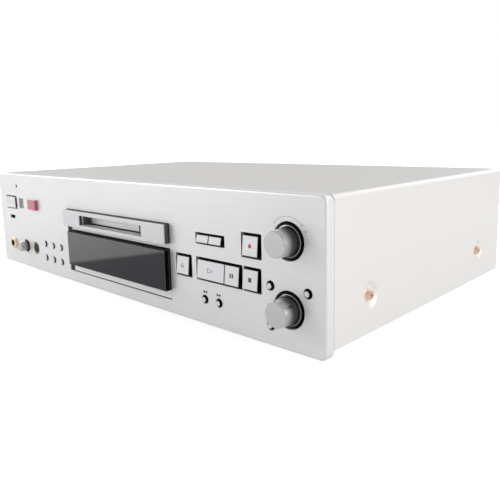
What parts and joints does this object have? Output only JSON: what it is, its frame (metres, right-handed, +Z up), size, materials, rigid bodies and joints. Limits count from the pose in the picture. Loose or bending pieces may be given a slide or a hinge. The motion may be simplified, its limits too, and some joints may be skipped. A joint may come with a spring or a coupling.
{
  "type": "minidisc deck",
  "caption": "Full-size silver minidisc deck with a front disc slot, tinted display, transport keys, two large knobs and a working loading and reading mechanism inside.",
  "frame": {"origin": "middle of the deck's footprint, on the surface that the feet stand on", "axes": "+X to the right seen from the front, +Y from the front to the rear, +Z up"},
  "size_m": [0.4322, 0.2794, 0.107],
  "materials": {
    "front_silver": "fine satin, lacquered",
    "cover_silver": "smooth semi-gloss champagne silver",
    "tray_steel": "zinc-plated sheet",
    "rear_paint": "matt",
    "foot_plastic": "moulded",
    "frame_black": "moulded",
    "key_silver": "satin",
    "knob_silver": "satin, turned",
    "shaft_steel": "turned",
    "board_green": "solder resist",
    "switch_black": "moulded",
    "jack_gold": "gold-plated",
    "socket_black": "moulded",
    "lamp_red": "clear-tinted",
    "eye_tint": "dark tinted",
    "emblem_red": "gloss",
    "window_tint": "tinted clear moulding",
    "tube_glass": "dark, unlit",
    "trim_silver": "silver lacquer",
    "copper_screw": "copper-plated steel",
    "black_screw": "black oxide",
    "mechanism_steel": "zinc-plated",
    "gear_plastic": "acetal",
    "motor_steel": "plated can",
    "sled_plastic": "glass-filled",
    "core_steel": "laminated core, varnished"
  },
  "bodies": {
    "case": {"front_panel": "front_silver", "top_cover": "cover_silver", "chassis_tray": "tray_steel", "rear_panel": "rear_paint", "line_jacks": "jack_gold", "digital_jacks": "socket_black", "mains_inlet": "socket_black", "cover_screws": "copper_screw", "rear_screws": "black_screw", "feet": "foot_plastic", "front_frame": "frame_black", "key_boards": "board_green", "potentiometers": "switch_black", "jog_encoder": "switch_black", "phones_jack": "jack_gold", "keyboard_jack": "socket_black", "standby_lamp": "lamp_red", "remote_window": "eye_tint", "red_emblem": "emblem_red", "display_frame": "frame_black", "display_window": "window_tint", "display_tube": "tube_glass", "display_trim": "trim_silver", "slot_bezel": "trim_silver", "mechanism_chassis": "mechanism_steel", "drive_motors": "motor_steel", "guide_rods": "shaft_steel", "main_board": "board_green", "power_transformer": "core_steel"},
    "power_button_body": {"power_button": "key_silver"},
    "eject_button_body": {"eject_button": "key_silver"},
    "play_button_body": {"play_button": "key_silver"},
    "pause_button_body": {"pause_button": "key_silver"},
    "stop_button_body": {"stop_button": "key_silver"},
    "record_button_body": {"record_button": "key_silver"},
    "record_mode_button_body": {"record_mode_button": "key_silver"},
    "input_button_body": {"input_button": "key_silver"},
    "function_button_1_body": {"function_button_1": "key_silver"},
    "function_button_2_body": {"function_button_2": "key_silver"},
    "function_button_3_body": {"function_button_3": "key_silver"},
    "function_button_4_body": {"function_button_4": "key_silver"},
    "function_button_5_body": {"function_button_5": "key_silver"},
    "function_button_6_body": {"function_button_6": "key_silver"},
    "rewind_button_body": {"rewind_button": "key_silver"},
    "forward_button_body": {"forward_button": "key_silver"},
    "menu_button_body": {"menu_button": "key_silver"},
    "yes_button_body": {"yes_button": "key_silver"},
    "clear_button_body": {"clear_button": "key_silver"},
    "record_level_knob_body": {"record_level_knob": "knob_silver"},
    "jog_knob_body": {"jog_knob": "knob_silver"},
    "jog_shaft_body": {"jog_shaft": "shaft_steel"},
    "phone_level_knob_body": {"phone_level_knob": "knob_silver"},
    "timer_lever_body": {"timer_lever": "frame_black"},
    "slot_flap_body": {"slot_flap": "trim_silver"},
    "disc_holder_body": {"disc_holder": "mechanism_steel"},
    "loading_slide_body": {"loading_slide": "mechanism_steel"},
    "loading_gear_body": {"loading_gear": "gear_plastic"},
    "turntable_body": {"turntable": "gear_plastic"},
    "optical_sled_body": {"optical_sled": "sled_plastic"},
    "lead_screw_body": {"lead_screw": "shaft_steel"}
  },
  "joints": [
    {"name": "power_button_press", "type": "slide", "parent": "case", "child": "power_button_body", "axis": [0, 1, 0], "range_m": [0, 0.0008], "stiffness_N_per_m": 400},
    {"name": "eject_button_press", "type": "slide", "parent": "case", "child": "eject_button_body", "axis": [0, 1, 0], "range_m": [0, 0.0008], "stiffness_N_per_m": 400},
    {"name": "play_button_press", "type": "slide", "parent": "case", "child": "play_button_body", "axis": [0, 1, 0], "range_m": [0, 0.0008], "stiffness_N_per_m": 400},
    {"name": "pause_button_press", "type": "slide", "parent": "case", "child": "pause_button_body", "axis": [0, 1, 0], "range_m": [0, 0.0008], "stiffness_N_per_m": 400},
    {"name": "stop_button_press", "type": "slide", "parent": "case", "child": "stop_button_body", "axis": [0, 1, 0], "range_m": [0, 0.0008], "stiffness_N_per_m": 400},
    {"name": "record_button_press", "type": "slide", "parent": "case", "child": "record_button_body", "axis": [0, 1, 0], "range_m": [0, 0.0008], "stiffness_N_per_m": 400},
    {"name": "record_mode_button_press", "type": "slide", "parent": "case", "child": "record_mode_button_body", "axis": [0, 1, 0], "range_m": [0, 0.0008], "stiffness_N_per_m": 400},
    {"name": "input_button_press", "type": "slide", "parent": "case", "child": "input_button_body", "axis": [0, 1, 0], "range_m": [0, 0.0008], "stiffness_N_per_m": 400},
    {"name": "function_button_1_press", "type": "slide", "parent": "case", "child": "function_button_1_body", "axis": [0, 1, 0], "range_m": [0, 0.0008], "stiffness_N_per_m": 400},
    {"name": "function_button_2_press", "type": "slide", "parent": "case", "child": "function_button_2_body", "axis": [0, 1, 0], "range_m": [0, 0.0008], "stiffness_N_per_m": 400},
    {"name": "function_button_3_press", "type": "slide", "parent": "case", "child": "function_button_3_body", "axis": [0, 1, 0], "range_m": [0, 0.0008], "stiffness_N_per_m": 400},
    {"name": "function_button_4_press", "type": "slide", "parent": "case", "child": "function_button_4_body", "axis": [0, 1, 0], "range_m": [0, 0.0008], "stiffness_N_per_m": 400},
    {"name": "function_button_5_press", "type": "slide", "parent": "case", "child": "function_button_5_body", "axis": [0, 1, 0], "range_m": [0, 0.0008], "stiffness_N_per_m": 400},
    {"name": "function_button_6_press", "type": "slide", "parent": "case", "child": "function_button_6_body", "axis": [0, 1, 0], "range_m": [0, 0.0008], "stiffness_N_per_m": 400},
    {"name": "rewind_button_press", "type": "slide", "parent": "case", "child": "rewind_button_body", "axis": [0, 1, 0], "range_m": [0, 0.0008], "stiffness_N_per_m": 400},
    {"name": "forward_button_press", "type": "slide", "parent": "case", "child": "forward_button_body", "axis": [0, 1, 0], "range_m": [0, 0.0008], "stiffness_N_per_m": 400},
    {"name": "menu_button_press", "type": "slide", "parent": "case", "child": "menu_button_body", "axis": [0, 1, 0], "range_m": [0, 0.0008], "stiffness_N_per_m": 400},
    {"name": "yes_button_press", "type": "slide", "parent": "case", "child": "yes_button_body", "axis": [0, 1, 0], "range_m": [0, 0.0008], "stiffness_N_per_m": 400},
    {"name": "clear_button_press", "type": "slide", "parent": "case", "child": "clear_button_body", "axis": [0, 1, 0], "range_m": [0, 0.0008], "stiffness_N_per_m": 400},
    {"name": "timer_lever_slide", "type": "slide", "parent": "case", "child": "timer_lever_body", "axis": [1, 0, 0], "range_m": [-0.0028, 0.0028]},
    {"name": "phone_level_turn", "type": "hinge", "parent": "case", "child": "phone_level_knob_body", "pos_m": [-0.1588, -0.12685, 0.034], "axis": [0, 1, 0], "range_deg": [-150, 150]},
    {"name": "record_level_turn", "type": "hinge", "parent": "case", "child": "record_level_knob_body", "pos_m": [0.1877, -0.12685, 0.0788], "axis": [0, 1, 0], "range_deg": [-150, 150]},
    {"name": "jog_push", "type": "slide", "parent": "case", "child": "jog_shaft_body", "axis": [0, 1, 0], "range_m": [0, 0.0008], "stiffness_N_per_m": 600},
    {"name": "jog_turn", "type": "hinge", "parent": "jog_shaft_body", "child": "jog_knob_body", "pos_m": [0.1877, -0.12685, 0.0376], "axis": [0, 1, 0], "continuous": true},
    {"name": "slot_flap_swing", "type": "hinge", "parent": "case", "child": "slot_flap_body", "pos_m": [-0.002, -0.12125, 0.0742], "axis": [1, 0, 0], "range_deg": [0, 75], "stiffness_Nm_per_rad": 0.0008},
    {"name": "loading_slide_travel", "type": "slide", "parent": "case", "child": "loading_slide_body", "axis": [0, 1, 0], "range_m": [0, 0.018]},
    {"name": "loading_gear_turn", "type": "hinge", "parent": "case", "child": "loading_gear_body", "pos_m": [-0.04975, -0.07285, 0.05182], "axis": [-1, 0, 0], "range_deg": [0, 172]},
    {"name": "disc_holder_lower", "type": "slide", "parent": "case", "child": "disc_holder_body", "axis": [0, 0, -1], "range_m": [0, 0.0045]},
    {"name": "turntable_spin", "type": "hinge", "parent": "case", "child": "turntable_body", "pos_m": [-0.002, -0.05085, 0.062], "axis": [0, 0, 1], "continuous": true},
    {"name": "lead_screw_turn", "type": "hinge", "parent": "case", "child": "lead_screw_body", "pos_m": [0.02, -0.02885, 0.056], "axis": [1, 0, 0], "range_deg": [0, 1802]},
    {"name": "optical_sled_travel", "type": "slide", "parent": "case", "child": "optical_sled_body", "axis": [1, 0, 0], "range_m": [0, 0.016]}
  ],
  "couplings": [
    {"joint": "loading_gear_turn", "follows": "loading_slide_travel", "rad_per_m": 166.67},
    {"joint": "disc_holder_lower", "follows": "loading_slide_travel", "ratio": 0.25},
    {"joint": "lead_screw_turn", "follows": "optical_sled_travel", "rad_per_m": 1963.5}
  ]
}
